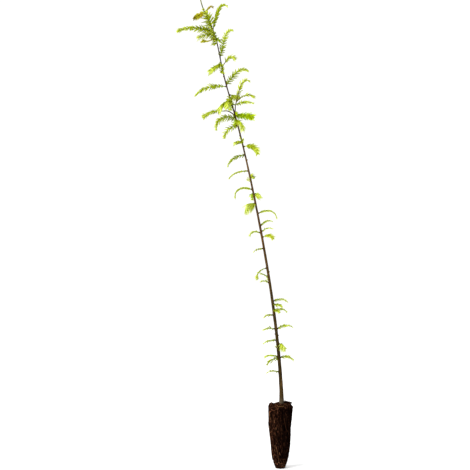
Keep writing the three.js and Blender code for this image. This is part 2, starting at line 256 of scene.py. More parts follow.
# name, height above the soil, turn (0 right, 90 away, 180 left, 270 near), rise, bend, length,
# needle length that its habit varies, roll of the two ranks of needles, tint, habit
SPRAYS = rows_of("""
tip_left 901 205 -24 10 36 11 60 bronze wedge
tip_right 899 340 62 80 28 9 60 bronze hook
leader 866 232 60 20 46 14 40 fresh spindle
right_01 861 12 75 104 77 10 60 fresh shaft
left_01 858 195 12 36 89 11 70 fresh trail
left_02 854 208 -12 16 47 14 50 pale brush
left_03 842 226 -25 -20 44 12 40 bronze paddle
back_01 838 70 25 60 30 9 0 deep feather
right_02 798 20 76 82 80 9 70 fresh feather
left_04 784 212 -22 24 44 14 15 fresh young
right_03 774 340 58 86 46 14 45 fresh stalked
right_04 734 15 53 76 71 10 65 fresh feather
left_05 730 160 8 56 90 10 65 fresh sickle
right_05 711 30 2 12 34 10 0 fresh palm
left_06 697 205 -10 60 47 15 10 fresh young
front_01 700 248 0 100 42 12 0 fresh young
back_02 690 95 18 70 50 12 0 deep feather
right_06 662 330 2 20 50 12 80 deep swell
left_07 658 200 9 102 69 10 70 fresh feather
front_02 653 300 -10 70 46 12 10 fresh young
back_03 648 95 20 70 46 12 0 deep feather
left_08 641 160 -10 75 50 9 65 fresh feather
left_09 603 215 12 50 26 10 20 fresh young
right_07 592 330 9 85 50 12 85 fresh spoon
left_10 573 195 -8 64 54 8 45 fresh feather
left_11 536 145 4 52 62 7 10 pale taper
back_04 518 75 34 62 36 10 0 deep feather
left_12 493 190 20 110 57 10 35 fresh arch
right_08 477 335 56 56 22 14 0 fresh palm
back_05 481 95 15 70 44 11 0 deep feather
left_13 461 212 4 34 36 18 0 fresh hand
right_09 438 15 28 102 58 10 30 fresh arch
right_10 409 30 46 64 38 8 30 fresh arch
right_11 396 345 40 60 31 8 15 fresh taper
left_14 393 165 25 84 33 10 30 fresh arch
right_12 383 325 28 82 35 9 50 pale spoon
left_15 357 205 5 50 30 9 20 pale taper
left_16 312 194 -12 78 40 10 40 fresh drop
left_17 292 160 28 18 30 8 20 fresh taper
left_18 277 150 32 60 27 8 20 fresh taper
right_13 235 20 24 68 41 9 20 fresh taper
right_14 229 325 -5 20 26 8 20 fresh feather
right_15 212 25 26 72 37 9 30 fresh arch
front_03 215 300 14 50 27 10 15 fresh feather
left_19 203 190 16 66 28 10 20 pale taper
right_16 171 10 33 68 43 9 20 fresh taper
left_20 171 170 14 42 32 12 20 fresh taper
left_21 145 200 8 42 37 12 20 fresh taper
front_04 138 318 -8 40 31 14 20 fresh palm
left_22 107 155 15 46 37 9 40 fresh arch
left_23 105 210 -8 40 38 10 50 fresh feather
right_17 105 20 14 55 38 12 40 fresh arch
left_24 72 200 20 52 35 9 15 pale taper
""")

# %% The two woody side twigs, and the sprays that they carry
# name, height above the soil, turn, rise, bend, length
SIDE_TWIGS = rows_of("""
bough_left 662 155 45 55 32
bough_right 665 20 88 10 22
""")
# node, twig, share of the first rib that this one forks at, then turn to habit as above
TWIG_SPRAYS = rows_of("""
spray_bough_left bough_left 0 158 6 44 58 12 25 fresh club
fan_bough_right bough_right 0 8 76 106 76 10 60 fresh lifted
fan_bough_right bough_right 0.1 345 46 78 50 10 20 fresh stalked
fan_bough_right bough_right 0.02 330 14 36 50 9 40 fresh feather
""")
print("rows of sprays:", len(SPRAYS) + len(TWIG_SPRAYS))

# %% The line of a shoot
# a shoot that rises more steeply than the first number bends by the power that follows it
BEND_POWERS = [(70, 6.5), (47, 3.5), (-90, 1.7)]
UNDER_BARK = 1.0
SHOOT_STEP, LEAST_STEPS = 2.5, 6


def outward(turn):
    return Vector((math.cos(math.radians(turn)), math.sin(math.radians(turn)), 0))


def leaning(axis, aside, degrees):
    """A direction that leans from an axis towards one square to it."""
    angle = math.radians(degrees)
    return axis * math.cos(angle) + aside * math.sin(angle)


def shoot_line(foot, turn, rise, bend, length):
    """Steps of point, heading and the level direction across, from the foot to the tip."""
    power = next(power for least_rise, power in BEND_POWERS if rise > least_rise)
    across = UP.cross(outward(turn))
    steps = max(LEAST_STEPS, round(length / SHOOT_STEP))

    def heading(share):
        return leaning(outward(turn), UP, rise - bend * share ** power)

    line = [(foot.copy(), heading(0), across)]
    for step in range(1, steps + 1):
        point = line[-1][0] + heading((step - 0.5) / steps) * (length / steps)
        line.append((point, heading(step / steps), across))
    return line


def bark_foot(height, turn):
    share = height / STEM_HEIGHT
    return stem_point(share) + outward(turn) * (stem_radius(share) - UNDER_BARK)


def along(line, share):
    place = share * (len(line) - 1)
    step = min(int(place), len(line) - 2)
    point = line[step][0].lerp(line[step + 1][0], place - step)
    heading = line[step][1].lerp(line[step + 1][1], place - step).normalized()
    return point, heading

# %% [markdown]
# ## A limb is a bent cylinder
# Stem, side twig, rib and root are all long tubes. A curve with a bevel would give a smooth tube, but not
# bark. So one function takes a cylinder of many rings and lays each ring on a line, and the caller says how
# thick it is at every step and turn: a plain taper for a rib, ridges and scars for the stem.

# %% Growing a limb along a line
def grow_limb(bm, line, radius_at, sides, finish=0):
    steps = len(line) - 1
    first = len(bm.verts)
    first_face = len(bm.faces)
    tube = bmesh.ops.create_cone(bm, cap_ends=True, segments=sides, radius1=1, radius2=1, depth=1)
    feet = [vert for vert in tube["verts"] if vert.co.z < 0]
    uprights = [edge for vert in feet for edge in vert.link_edges if edge.other_vert(vert).co.z > 0]
    bmesh.ops.subdivide_edges(bm, edges=uprights, cuts=steps - 1)
    bm.verts.ensure_lookup_table()
    for vert in bm.verts[first:]:
        step = round((vert.co.z + 0.5) * steps)
        point, heading, across = line[step]
        turn = math.atan2(vert.co.y, vert.co.x)
        spoke = across * math.cos(turn) + heading.cross(across) * math.sin(turn)
        vert.co = point + spoke * radius_at(step / steps, turn)
    bm.faces.ensure_lookup_table()
    for face in bm.faces[first_face:]:
        face.material_index = finish


def taper(foot_radius, tip_radius):
    return lambda share, turn: foot_radius + (tip_radius - foot_radius) * share

# %% [markdown]
# ## Bark
# The whip's bark is thin: dark olive brown and finely ridged near the soil, redder half way up, smoother and
# darker above, and green at its tip. Colour alone would look painted on, so the ridges, the leaf scars
# and the swelling under each shoot are in the mesh, and only the finest grain is left to a bump.

# %% Bark finish
# height above the plug's foot, and the red, green and blue of the bark there
BARK_BY_HEIGHT = rows_of("""
152 76 66 52
166 62 47 20
205 42 30 4
320 48 37 10
430 64 47 16
540 80 54 22
720 70 54 26
900 44 32 22
1020 58 50 20
1045 88 92 16
1078 106 112 24
""")
LIGHT_PATCH, LIGHT_SHARE = paint(122, 88, 48), 0.35
DARK_PATCH, DARK_SHARE = paint(28, 19, 9), 0.4
STREAK, STREAK_SHARE = paint(26, 17, 8), 0.55
FLECK, FLECK_SHARE = paint(146, 122, 84), 0.3
BARK_ROUGHNESS, GRAIN_ROUGHNESS = 0.62, 0.25


def make_bark():
    bark = plain_finish("bark", paint(72, 52, 26), roughness=0.8, gloss=0.05)
    place = place_on(bark)
    top = BARK_BY_HEIGHT[-1][0]
    height = coordinate(place, "Z") * (1 / (top * MM))
    stops = [(at / top, paint(*color)) for at, *color in BARK_BY_HEIGHT]
    ground = height.node("ShaderNodeValToRGB", {"stops": stops}, {0: height})
    patches = speckle(place, size=9, detail=2.0, stretch=2.5)
    lightened = blend(mask(patches, start=0.55, end=0.66) * LIGHT_SHARE, ground, LIGHT_PATCH)
    patched = blend(mask(patches, start=0.46, end=0.36) * DARK_SHARE, lightened, DARK_PATCH)
    grain = speckle(place, size=1.1, detail=5.0, stretch=8)
    streaked = blend((1 - mask(grain, start=0.36, end=0.6)) * STREAK_SHARE, patched, STREAK)
    flecks = speckle(place, size=2.2, detail=3.0)
    color = blend(mask(flecks, start=0.6, end=0.72) * FLECK_SHARE, streaked, FLECK)
    roughness = BARK_ROUGHNESS + GRAIN_ROUGHNESS * grain
    feed(bark, Base_Color=color, Roughness=roughness, Normal=bumped(grain, strength=0.35, depth=0.3))
    return bark


bark = make_bark()
print("the bark's finish has", len(bark.node_tree.nodes), "nodes")

# %% Leaf scars, and swellings under the shoots
STEM_RINGS, BUMP_END = 640, 3
SCAR_COUNT, SCAR_LIFT, SCAR_REACH = 150, 0.32, 1.1
SCAR_HEIGHTS, SCAR_SIZES = (8, 840), (0.4, 1)
SWELLING_LIFT, SWELLING_REACH = 0.75, 2.2


def stem_bumps():
    """Height, turn, size and reach of every swelling under a shoot and every old leaf scar."""
    rows = [row[1:3] for row in SPRAYS] + [row[1:3] for row in SIDE_TWIGS]
    bumps = [(height, turn, SWELLING_LIFT, SWELLING_REACH) for height, turn in rows]
    chance = random.Random("leaf scars")
    for _ in range(SCAR_COUNT):
        height = chance.uniform(*SCAR_HEIGHTS)
        turn = chance.uniform(0, 360)
        bumps.append((height, turn, SCAR_LIFT * chance.uniform(*SCAR_SIZES), SCAR_REACH))
    return bumps


def bumps_by_ring():
    rings = {}
    for height, turn, size, reach in stem_bumps():
        middle = height / STEM_HEIGHT * STEM_RINGS
        spread = BUMP_END * reach / STEM_HEIGHT * STEM_RINGS
        for ring in range(math.ceil(middle - spread), math.floor(middle + spread) + 1):
            rings.setdefault(ring, []).append((height, math.radians(turn), size, reach))
    return rings


BUMPS = bumps_by_ring()
print("rings with a scar or a swelling:", len(BUMPS), "of", STEM_RINGS + 1)

# %% How thick the stem is at every step and turn
BARK, TIP_BARK = 0.3, 0.5
FOOT_BARK, FOOT_BARK_REACH = 0.6, 70
RIDGE_DEPTH, RIDGE_LENGTH, RIDGES_PER_MM, TIP_RIDGES = 0.42, 16, 0.75, 0.25
UNEVEN, UNEVEN_LENGTH, UNEVEN_SEED = 0.05, 23, 7
THIN_STEM_BUMPS = 0.3


def bark_radius(share, turn):
    height = share * STEM_HEIGHT
    radius = stem_radius(share) + BARK + (TIP_BARK - BARK) * share
    radius += FOOT_BARK * math.exp(-((height / FOOT_BARK_REACH) ** 2))
    age = TIP_RIDGES + (1 - TIP_RIDGES) * (1 - share)
    around = outward(math.degrees(turn)) * radius * RIDGES_PER_MM
    ridge = noise.noise(Vector((around.x, around.y, height / RIDGE_LENGTH)))
    uneven = noise.noise(Vector((0, UNEVEN_SEED, height / UNEVEN_LENGTH)))
    grown = radius * (1 + UNEVEN * uneven) + RIDGE_DEPTH * age * ridge * radius / (radius + 1)
    thickness = radius / (STEM_DIAMETER / 2)
    bump_share = THIN_STEM_BUMPS + (1 - THIN_STEM_BUMPS) * thickness
    for at, bump_turn, size, reach in BUMPS.get(round(share * STEM_RINGS), ()):
        aside = (turn - bump_turn + math.pi) % (2 * math.pi) - math.pi
        apart = math.hypot(height - at, aside * radius) / reach
        grown += size * bump_share * math.exp(-apart * apart)
    return grown

# %% The stem itself
STEM_SIDES = 44


def make_stem():
    line = []
    for step in range(STEM_RINGS + 1):
        share = step / STEM_RINGS
        heading = stem_heading(share) if step else UP
        across = AWAY.cross(heading).normalized()
        line.append((stem_point(share), heading, across))
    bm = bmesh.new()
    grow_limb(bm, line, bark_radius, STEM_SIDES)
    cast(bm, "stem_bark", [bark], ["stem"])


make_stem()

# %% [markdown]
# ## Side twigs and buds
# Two short woody twigs carry sprays of their own. They are the stem's bark on a smaller tube. The resting
# buds are little pointed eggs pressed against the bark, so each starts as a sphere that is drawn to a tip.
# Where a bud has opened, its old scales stay behind as a dark collar round the foot of the new shoot.

# %% Side twigs
TWIG_FOOT_RADIUS, TWIG_TIP_RADIUS, TWIG_SIDES = 1.5, 1.05, 14
TWIG_KNOT, KNOTS_ALONG = 0.1, 9


def twig_radius(share, turn):
    knots = TWIG_KNOT * noise.noise(Vector((math.cos(turn), math.sin(turn), KNOTS_ALONG * share)))
    return TWIG_FOOT_RADIUS + (TWIG_TIP_RADIUS - TWIG_FOOT_RADIUS) * share + knots


twig_lines = {}
for name, height, turn, rise, bend, length in SIDE_TWIGS:
    twig_lines[name] = shoot_line(bark_foot(height, turn), turn, rise, bend, length + UNDER_BARK)
    bm = bmesh.new()
    grow_limb(bm, twig_lines[name], twig_radius, TWIG_SIDES)
    cast(bm, name + "_bark", [bark], [name])

# %% Buds
# height above the soil and turn
SIDE_BUDS = [
    (752, 185), (700, 20), (616, 180), (603, 350), (560, 10), (302, 5), (158, 178), (155, 0), (128, 182),
]
BUD_LENGTH, BUD_WIDTH, BUD_LEAN, BUD_SEAT, BUD_POINT = 3.8, 2.1, 0.55, 0.35, 0.45
TIP_BUD_SIZE = 1.5
bud_scales = plain_finish("bud_scales", paint(74, 42, 24), roughness=0.7, gloss=0.08)


def add_bud(bm, foot, axis, width, length):
    egg = bmesh.ops.create_uvsphere(bm, u_segments=10, v_segments=8, radius=0.5)["verts"]
    upright = UP.rotation_difference(axis)
    for vert in egg:
        drawn = width * (1 - BUD_POINT * max(0, vert.co.z * 2))
        local = Vector((vert.co.x * drawn, vert.co.y * drawn, (vert.co.z + BUD_SEAT) * length))
        vert.co = foot + upright @ local


def make_buds():
    bm = bmesh.new()
    for height, turn in SIDE_BUDS:
        share = height / STEM_HEIGHT
        foot = stem_point(share) + outward(turn) * stem_radius(share)
        axis = (stem_heading(share) + outward(turn) * BUD_LEAN).normalized()
        add_bud(bm, foot, axis, BUD_WIDTH, BUD_LENGTH)
    add_bud(bm, stem_point(1), stem_heading(1), BUD_WIDTH * TIP_BUD_SIZE, BUD_LENGTH * TIP_BUD_SIZE)
    cast(bm, "resting_buds", [bud_scales])


make_buds()

# %% Collars at the feet of the shoots
COLLAR_LENGTH, COLLAR_WIDTH, COLLAR_START = 4.2, 3.5, 0.6
old_scales = plain_finish("old_scales", paint(50, 38, 24), roughness=0.8, gloss=0.05)


def make_collars():
    bm = bmesh.new()
    for _, height, turn, rise, *_ in SPRAYS:
        axis = leaning(outward(turn), UP, rise)
        foot = bark_foot(height, turn) + axis * (UNDER_BARK + COLLAR_START)
        add_bud(bm, foot, axis, COLLAR_WIDTH, COLLAR_LENGTH)
    cast(bm, "shoot_collars", [old_scales])


make_collars()

# %% [markdown]
# ## Ribs
# A spray's rib is this year's shoot, as thick as a matchstick at its foot. The ribs of all sprays are one
# mesh, and four plain colours are dealt out by spray, because a pattern has no place on something so thin.

# %% Where every rib runs
Rib = namedtuple("Rib", "node line across length needle roll tint habit")
END_NEEDLE_SHARE = 0.7


def make_rib(node, foot, turn, rise, bend, length, needle, roll, tint, habit):
    rib_length = length - END_NEEDLE_SHARE * needle + UNDER_BARK
    line = shoot_line(foot, turn, rise, bend, rib_length)
    return Rib(node, line, UP.cross(outward(turn)), rib_length, needle, roll, tint, habit)


ribs = []
for name, height, turn, *sizes in SPRAYS:
    ribs.append(make_rib("spray_" + name, bark_foot(height, turn), turn, *sizes))
fan_lines = {}
for node, twig, fork, turn, *sizes in TWIG_SPRAYS:
    foot = along(fan_lines[node], fork)[0] if node in fan_lines else twig_lines[twig][-1][0]
    ribs.append(make_rib(node, foot, turn, *sizes))
    fan_lines.setdefault(node, ribs[-1].line)
print("ribs:", len(ribs), "with", round(sum(rib.length for rib in ribs)), "mm of shoot in all")

# %% Rib meshes
RIB_FOOT_RADIUS, RIB_TIP_RADIUS, RIB_SIDES = 1.2, 0.65, 6
SHOOT_COLORS = {
    "green": paint(106, 126, 4),
    "bronze": paint(122, 108, 30),
    "woody": paint(82, 72, 20),
    "young": paint(142, 158, 22),
}
WOODY_HABITS = ("stalked", "lifted", "hook")
YOUNG_HABITS = ("young", "palm", "hand", "spoon")
shoot_finishes = finish_set("{}_shoot", SHOOT_COLORS, roughness=0.7, gloss=0.04)


def shoot_kind(rib):
    if rib.habit in WOODY_HABITS:
        return "woody"
    if rib.habit in YOUNG_HABITS:
        return "young"
    return "bronze" if rib.tint == "bronze" else "green"


def make_ribs():
    bm = bmesh.new()
    radius = taper(RIB_FOOT_RADIUS, RIB_TIP_RADIUS)
    for rib in ribs:
        grow_limb(bm, rib.line, radius, RIB_SIDES, list(SHOOT_COLORS).index(shoot_kind(rib)))
    cast(bm, "spray_ribs", shoot_finishes)


make_ribs()

# %% [markdown]
# ## Needles
# Dawn redwood needles are soft, flat and blunt, and stand in opposite pairs along a shoot. One is a closed
# blade with a shallow fold and a couple of dozen faces. Thousands of objects would be slow and instances
# wouldn't outlast an export, so one needle is modelled, and arrays copy it into one mesh for each tint.

# %% One needle
NEEDLE_RINGS = 5
TIP_NARROWING, BLUNTNESS = 0.93, 3.5
FOOT_BREADTH, FOOT_SHARE, LEAST_THICKNESS = 0.4, 0.22, 0.35


def model_needle():
    """Corners of a needle one long, one broad and one thick, and its faces."""
    bm = bmesh.new()
    bmesh.ops.create_cone(bm, cap_ends=True, segments=4, radius1=0.5, radius2=0.5, depth=1)
    bmesh.ops.translate(bm, verts=bm.verts, vec=(0, 0, 0.5))
    uprights = [edge for edge in bm.edges if abs(edge.verts[0].co.z - edge.verts[1].co.z) > 0.5]
    bmesh.ops.subdivide_edges(bm, edges=uprights, cuts=NEEDLE_RINGS - 1)
    for vert in bm.verts:
        share = vert.co.z
        foot = FOOT_BREADTH + (1 - FOOT_BREADTH) * min(1, share / FOOT_SHARE)
        breadth = (1 - TIP_NARROWING * share ** BLUNTNESS) * foot
        vert.co.x *= breadth
        vert.co.y *= LEAST_THICKNESS + (1 - LEAST_THICKNESS) * breadth
    bm.verts.index_update()
    corners = np.array([vert.co for vert in bm.verts])
    faces = np.array([[vert.index for vert in face.verts] for face in bm.faces])
    bm.free()
    return corners, faces


needle_corners, needle_faces = model_needle()
print("one needle has", len(needle_corners), "corners and", len(needle_faces), "faces")

# %% [markdown]
# The needles of a spray follow the rule of its solid, only closer: spread wide near the foot, swept forward
# at the tip, the two ranks rolled together about the rib. What makes one spray a broad brush and the next a
# thin arch is its habit: how much of the rib is bare, how the needles lengthen along it, how many stand out
# of the two ranks, and how many small ones are still unfolding in the tuft at its tip.

# %% Habits of sprays
# name; bare share of the rib; needle length at foot, one third, two thirds and tip; share of the usual
# spread; pitch of the pairs and width of a needle; strays outside of the ranks to each needle in them;
# needles in the tuft at the tip, how far it opens and how long its longest is beside a grown needle; how
# young it all looks, and how far the two ranks of a young spray still fold down
Habit = namedtuple("Habit", "bare lengths spread pitch width strays tuft opening longest youth fold")
HABIT_ROWS = rows_of("""
feather 0.05 0.9 1.1 0.95 0.6 0.95 5.0 2.8 2 10 30 0.7 0.15 0
taper 0.08 0.75 1.0 0.75 0.5 0.95 3.6 2.3 1 6 20 0.7 0.4 0
lifted 0.22 0.7 1.0 0.95 0.7 0.8 4.4 2.4 1.6 14 30 0.75 0.15 0
sickle 0.12 0.5 1.1 0.65 0.3 0.9 5.2 2.7 2 2 15 0.5 -0.1 0
arch 0.08 0.6 0.75 0.75 0.8 0.7 3.0 2.0 1.1 16 35 0.7 0.5 0
trail 0.04 1.1 1.05 0.68 0.55 0.85 4.6 2.8 3 150 62 0.9 0.15 0
club 0.12 0.65 0.9 0.85 0.9 0.9 3.2 2.3 1.4 110 75 1 0.1 0
drop 0.3 0.3 0.4 0.6 0.8 0.8 3.0 2.3 0.9 120 52 1 0.55 0
stalked 0.35 0.6 0.95 1.15 0.9 0.9 2.8 2.4 1.4 44 45 0.9 0.2 0
swell 0.06 0.75 0.95 1.15 1.0 0.95 3.2 2.5 3 280 88 0.9 0.15 0
spoon 0.2 0.5 0.95 1.05 0.75 0.85 1.3 1.7 1.3 60 45 0.75 0.2 0
shaft 0.1 0.5 0.95 1.0 0.7 0.65 3.8 2.6 2.2 8 25 0.75 -0.2 0
hook 0.25 0.5 0.8 0.9 0.8 0.7 3.0 2.0 1.2 14 30 0.8 0.95 0
paddle 0.3 0.3 0.4 0.7 0.9 0.5 3.0 2.2 0.6 90 34 1.4 0.15 0
spindle 0.2 1.0 1.2 0.9 0.45 1 5.0 2.6 1.6 4 20 0.5 -0.07 0
wedge 0.12 1.0 1.2 0.95 0.6 0.65 1.6 2.2 1.6 20 28 0.6 0.4 0
brush 0.05 0.95 1.15 1.1 0.85 0.85 5.4 2.4 1.2 8 30 0.75 0.15 0
young 0.03 0.8 1.0 1.1 0.95 1 1.8 2.0 1.6 30 50 0.75 0.3 45
palm 0.2 0.9 1.1 1.0 0.6 1.7 0.9 1.4 1 0 40 0.6 0.6 70
hand 0.08 0.6 1.1 1.25 0.85 1.45 0.7 1.4 1 0 40 0.6 0.65 70
""")
HABITS = {name: Habit(bare, sizes[:4], *sizes[4:]) for name, bare, *sizes in HABIT_ROWS}
print("habits:", len(HABITS))

# %% A needle's place, and the turns and shades that needles share
Needle = namedtuple("Needle", "root direction flat length width droop shade")
SHADE_LIMITS, SHADE_JITTER = (0.45, 0.85, 1.12), 0.3


def turned(vector, axis, degrees):
    return leaning(vector, axis.cross(vector), degrees)


def shade_at(age, chance):
    """Which of a tint's four colours a needle takes: 0 at a spray's foot, 3 at a very young tip."""
    mixed = age + chance.uniform(-SHADE_JITTER, SHADE_JITTER)
    return sum(mixed > limit for limit in SHADE_LIMITS)


def twisted(direction, chance):
    """A blade's flat normal, turned at random about the way that the needle points."""
    return turned(direction.orthogonal().normalized(), direction, chance.uniform(0, 360))

# %% The tuft at the tip of a spray
TUFT_PITCH, TUFT_WIDTH, TUFT_DROOP = 0.05, 0.8, 0.05
TUFT_CORE, TUFT_SHORTEST = 4, 0.35
YOUNG_LOOK, YOUNG_TUFT, GROWN_TUFT = 0.2, (2, 3, 3), (1, 2, 2)


def tuft_of(rib, habit, chance):
    tip, heading = along(rib.line, 1)
    shades = YOUNG_TUFT if habit.youth > YOUNG_LOOK else GROWN_TUFT
    found = []
    for _ in range(int(habit.tuft)):
        around = turned(rib.across, heading, chance.uniform(0, 360))
        direction = leaning(heading, around, chance.uniform(TUFT_CORE, habit.opening))
        root = tip - heading * chance.uniform(0, TUFT_PITCH * habit.tuft)
        length = rib.needle * chance.uniform(TUFT_SHORTEST, habit.longest)
        width = habit.width * TUFT_WIDTH
        shade = chance.choice(shades)
        found.append(Needle(root, direction, around, length, width, TUFT_DROOP, shade))
    return found

# %% All needles of a spray
LEAST_PAIRS, LAST_PAIR, PITCH_JITTER = 6, 0.985, 0.3
SPREAD, TIP_SPREAD, SPREAD_JITTER = 58, 32, 8
DIP, DIP_JITTER = 8, 11
FULL_GROWN, LENGTH_JITTER, DROOP, TWIST_JITTER = 1.22, 0.18, 0.08, 20
# strays turn and shorten at random, and are painted darker, as painted shade in the core of a spray
STRAY_TURN, STRAY_LENGTHS, STRAY_PAINTED_SHADE = 80, (0.4, 0.85), 0.15


def needles_of(rib):
    chance = random.Random(f"{rib.node} {round(rib.length)}")
    habit = HABITS[rib.habit]
    unruly = min(1, 1 - habit.youth)

    def jitter(size):
        return unruly * chance.uniform(-size, size)

    def stand(grown):
        """Root, heading, rank direction and flat normal at a share of the needled part of the rib."""
        share = min(max(grown, 0), 1)
        point, heading = along(rib.line, habit.bare + (LAST_PAIR - habit.bare) * share)
        rank = turned(rib.across, heading, rib.roll)
        return point, heading, rank, heading.cross(rank)

    pairs = max(LEAST_PAIRS, round(rib.length * (1 - habit.bare) / habit.pitch))
    found = []
    for pair, side in product(range(pairs), (1, -1)):
        grown = pair / (pairs - 1)
        full = FULL_GROWN * rib.needle * np.interp(grown, (0, 1 / 3, 2 / 3, 1), habit.lengths)
        usual = SPREAD + (TIP_SPREAD - SPREAD) * grown
        spread = habit.spread * usual + jitter(SPREAD_JITTER)
        age = grown + habit.youth
        point, heading, rank, flat = stand(grown + jitter(PITCH_JITTER) / pairs)
        fold = habit.fold + DIP + jitter(DIP_JITTER)
        out = leaning(rank * side, flat, -fold)
        direction = leaning(heading, out, spread)
        face = turned(heading.cross(out), direction, jitter(TWIST_JITTER))
        length = full * (1 + jitter(LENGTH_JITTER))
        shade = shade_at(age, chance)
        found.append(Needle(point, direction, face, length, habit.width, DROOP, shade))
        for _ in range(int(habit.strays + chance.random())):
            point, heading, rank, flat = stand(grown + chance.uniform(-1, 1) / pairs)
            around = turned(out, heading, chance.uniform(-STRAY_TURN, STRAY_TURN))
            stray = leaning(heading, around, spread)
            size = full * chance.uniform(*STRAY_LENGTHS)
            # strays fill the core of a spray and take a darker colour there: painted shade
            shade = shade_at(age - STRAY_PAINTED_SHADE, chance)
            found.append(Needle(point, stray, twisted(stray, chance), size, habit.width, DROOP, shade))
    return found + tuft_of(rib, habit, chance)


print("the first spray has", len(needles_of(ribs[0])), "needles")

# %% [markdown]
# Some needles grow straight on the whip: in two ranks on its young top, as on any spray, and in rosettes
# where several shoots break from one place. A rosette stands round the bark instead of in ranks.

# %% Ranks of needles on the stem's young top
TOP_START, TOP_END, TOP_STEPS = 864, 907, 12
TOP_NEEDLE, TOP_ROLL = 14, 90


def young_top():
    line = []
    for step in range(TOP_STEPS + 1):
        share = (TOP_START + (TOP_END - TOP_START) * step / TOP_STEPS) / STEM_HEIGHT
        line.append((stem_point(share), stem_heading(share), AWAY))
    return Rib("spray_leader", line, AWAY, TOP_END - TOP_START, TOP_NEEDLE, TOP_ROLL, "fresh", "spindle")

# %% Rosettes of needles on the stem
# height above the soil, reach up and down, turn, reach to both sides, lean from the stem, number,
# length, tint
ROSETTES = rows_of("""
874 9 220 180 58 14 14 fresh
850 12 225 60 58 34 14 fresh
843 13 215 50 112 44 16 fresh
846 9 20 50 58 18 7 deep
770 11 250 70 58 50 11 fresh
696 8 240 90 58 40 12 fresh
664 6 340 40 58 12 10 deep
650 6 205 30 58 9 8 deep
603 6 255 70 58 16 8 fresh
524 5 350 40 58 9 10 pale
514 6 205 55 58 8 11 pale
478 4 205 30 58 6 6 deep
286 5 190 30 58 8 6 fresh
132 6 190 40 58 8 7 fresh
""")
ROSETTE_WIDTH, FULL_ROSETTE, LEAN_REACH = 2.4, 12, 20
ROSETTE_SEAT, ROSETTE_LENGTHS, ROSETTE_AGES = 0.8, (0.7, 1.1), (0.35, 1)
print("rosettes:", len(ROSETTES))


def rosette(height, height_reach, turn, turn_reach, lean, count, length):
    chance = random.Random(f"rosette {height:.0f}")
    found = []
    for _ in range(int(count)):
        share = (height + chance.uniform(-height_reach, height_reach)) / STEM_HEIGHT
        out = outward(turn + chance.uniform(-turn_reach, turn_reach))
        slope = lean + chance.uniform(-LEAN_REACH, LEAN_REACH)
        direction = leaning(stem_heading(share), out, slope).normalized()
        root = stem_point(share) + out * stem_radius(share) * ROSETTE_SEAT
        size = length * chance.uniform(*ROSETTE_LENGTHS)
        shade = shade_at(chance.uniform(*ROSETTE_AGES), chance)
        width = ROSETTE_WIDTH * min(1, count / FULL_ROSETTE)
        found.append(Needle(root, direction, twisted(direction, chance), size, width, DROOP, shade))
    return found

# %% [markdown]
# On a real plant no two needles have the same green. A pattern would be lost when thousands of blades share
# one texture, so every tint of spray has four plain colours, from the older needles near the foot to the
# youngest ones at a soft tip, and each needle takes one of them.

# %% Needle finishes
SHADES = {
    "fresh": [paint(130, 143, 18), paint(168, 181, 40), paint(190, 202, 76), paint(201, 213, 104)],
    "deep": [paint(116, 143, 12), paint(150, 176, 18), paint(184, 206, 18), paint(192, 212, 42)],
    "pale": [paint(142, 151, 20), paint(168, 177, 38), paint(188, 197, 66), paint(197, 206, 92)],
    "bronze": [paint(196, 172, 20), paint(196, 192, 40), paint(172, 172, 28), paint(140, 126, 34)],
}
SHADE_NAMES = ("older", "grown", "new", "youngest")
leaf_finishes = {}
for tint, colors in SHADES.items():
    named = dict(zip(SHADE_NAMES, colors))
    leaf_finishes[tint] = finish_set(tint + "_needle_{}", named, roughness=0.7, gloss=0.02)
print("needle tints:", len(SHADES), "with", len(SHADE_NAMES), "colours each")

# %% Many needles as one mesh
THICKNESS, FOLD = 0.32, 0.16


def join_needles(name, needles, finishes, nodes):
    def column(field):
        return np.array([getattr(needle, field) for needle in needles], float)

    length, width, droop = column("length"), column("width"), column("droop")
    direction = column("direction")
    flat = column("flat")
    flat -= direction * np.sum(flat * direction, axis=1, keepdims=True)
    flat /= np.linalg.norm(flat, axis=1, keepdims=True)
    side = np.cross(flat, direction)
    across, thick, share = needle_corners.T
    reach = length[:, None] * share
    raised = THICKNESS * thick + FOLD * width[:, None] * np.abs(across)
    places = column("root")[:, None] + direction[:, None] * reach[..., None]
    places += side[:, None] * (width[:, None] * across)[..., None] + flat[:, None] * raised[..., None]
    places[..., 2] -= droop[:, None] * reach * share
    first = np.arange(len(needles)) * len(needle_corners)
    faces = (needle_faces[None] + first[:, None, None]).reshape(-1, 4)
    mesh = bpy.data.meshes.new(name)
    mesh.from_pydata((places.reshape(-1, 3) * MM).tolist(), [], faces.tolist())
    shades = np.repeat([needle.shade for needle in needles], len(needle_faces))
    mesh.polygons.foreach_set("material_index", shades.astype(np.int32))
    settle(mesh, finishes, nodes)

# %% All needles of each tint
CLEAR_OF_BARK, CLEAR_SHARE = 0.4, 0.6


def in_bark(needle):
    """Whether a needle is still inside the stem at a given share of its length."""
    point = needle.root + needle.direction * needle.length * CLEAR_SHARE
    share = min(max((point.z - SOIL) / STEM_HEIGHT, 0), 1)
    return (point - stem_point(share)).xy.length < stem_radius(share) + CLEAR_OF_BARK


needled_ribs = [*ribs, young_top()]
for tint in SHADES:
    tinted = [rib for rib in needled_ribs if rib.tint == tint]
    needles = [needle for rib in tinted for needle in needles_of(rib)]
    needles += [needle for *sizes, named in ROSETTES if named == tint for needle in rosette(*sizes)]
    clear = [needle for needle in needles if not in_bark(needle)]
    print(tint, "sprays:", len(tinted), "needles:", len(clear), "of", len(needles))
    join_needles("needles_" + tint, clear, leaf_finishes[tint], sorted({rib.node for rib in tinted}))

# %% [markdown]
# ## The root plug
# The plug is peat held together by roots, moulded by the tapered cell of its tray: a narrow blunt foot, a
# chamfer, long and nearly straight sides, a crumbly top. An outline spun round the middle gives the mould's
# shape, and noise along the normals breaks it into crumbs, but leaves the foot flat to stand on.

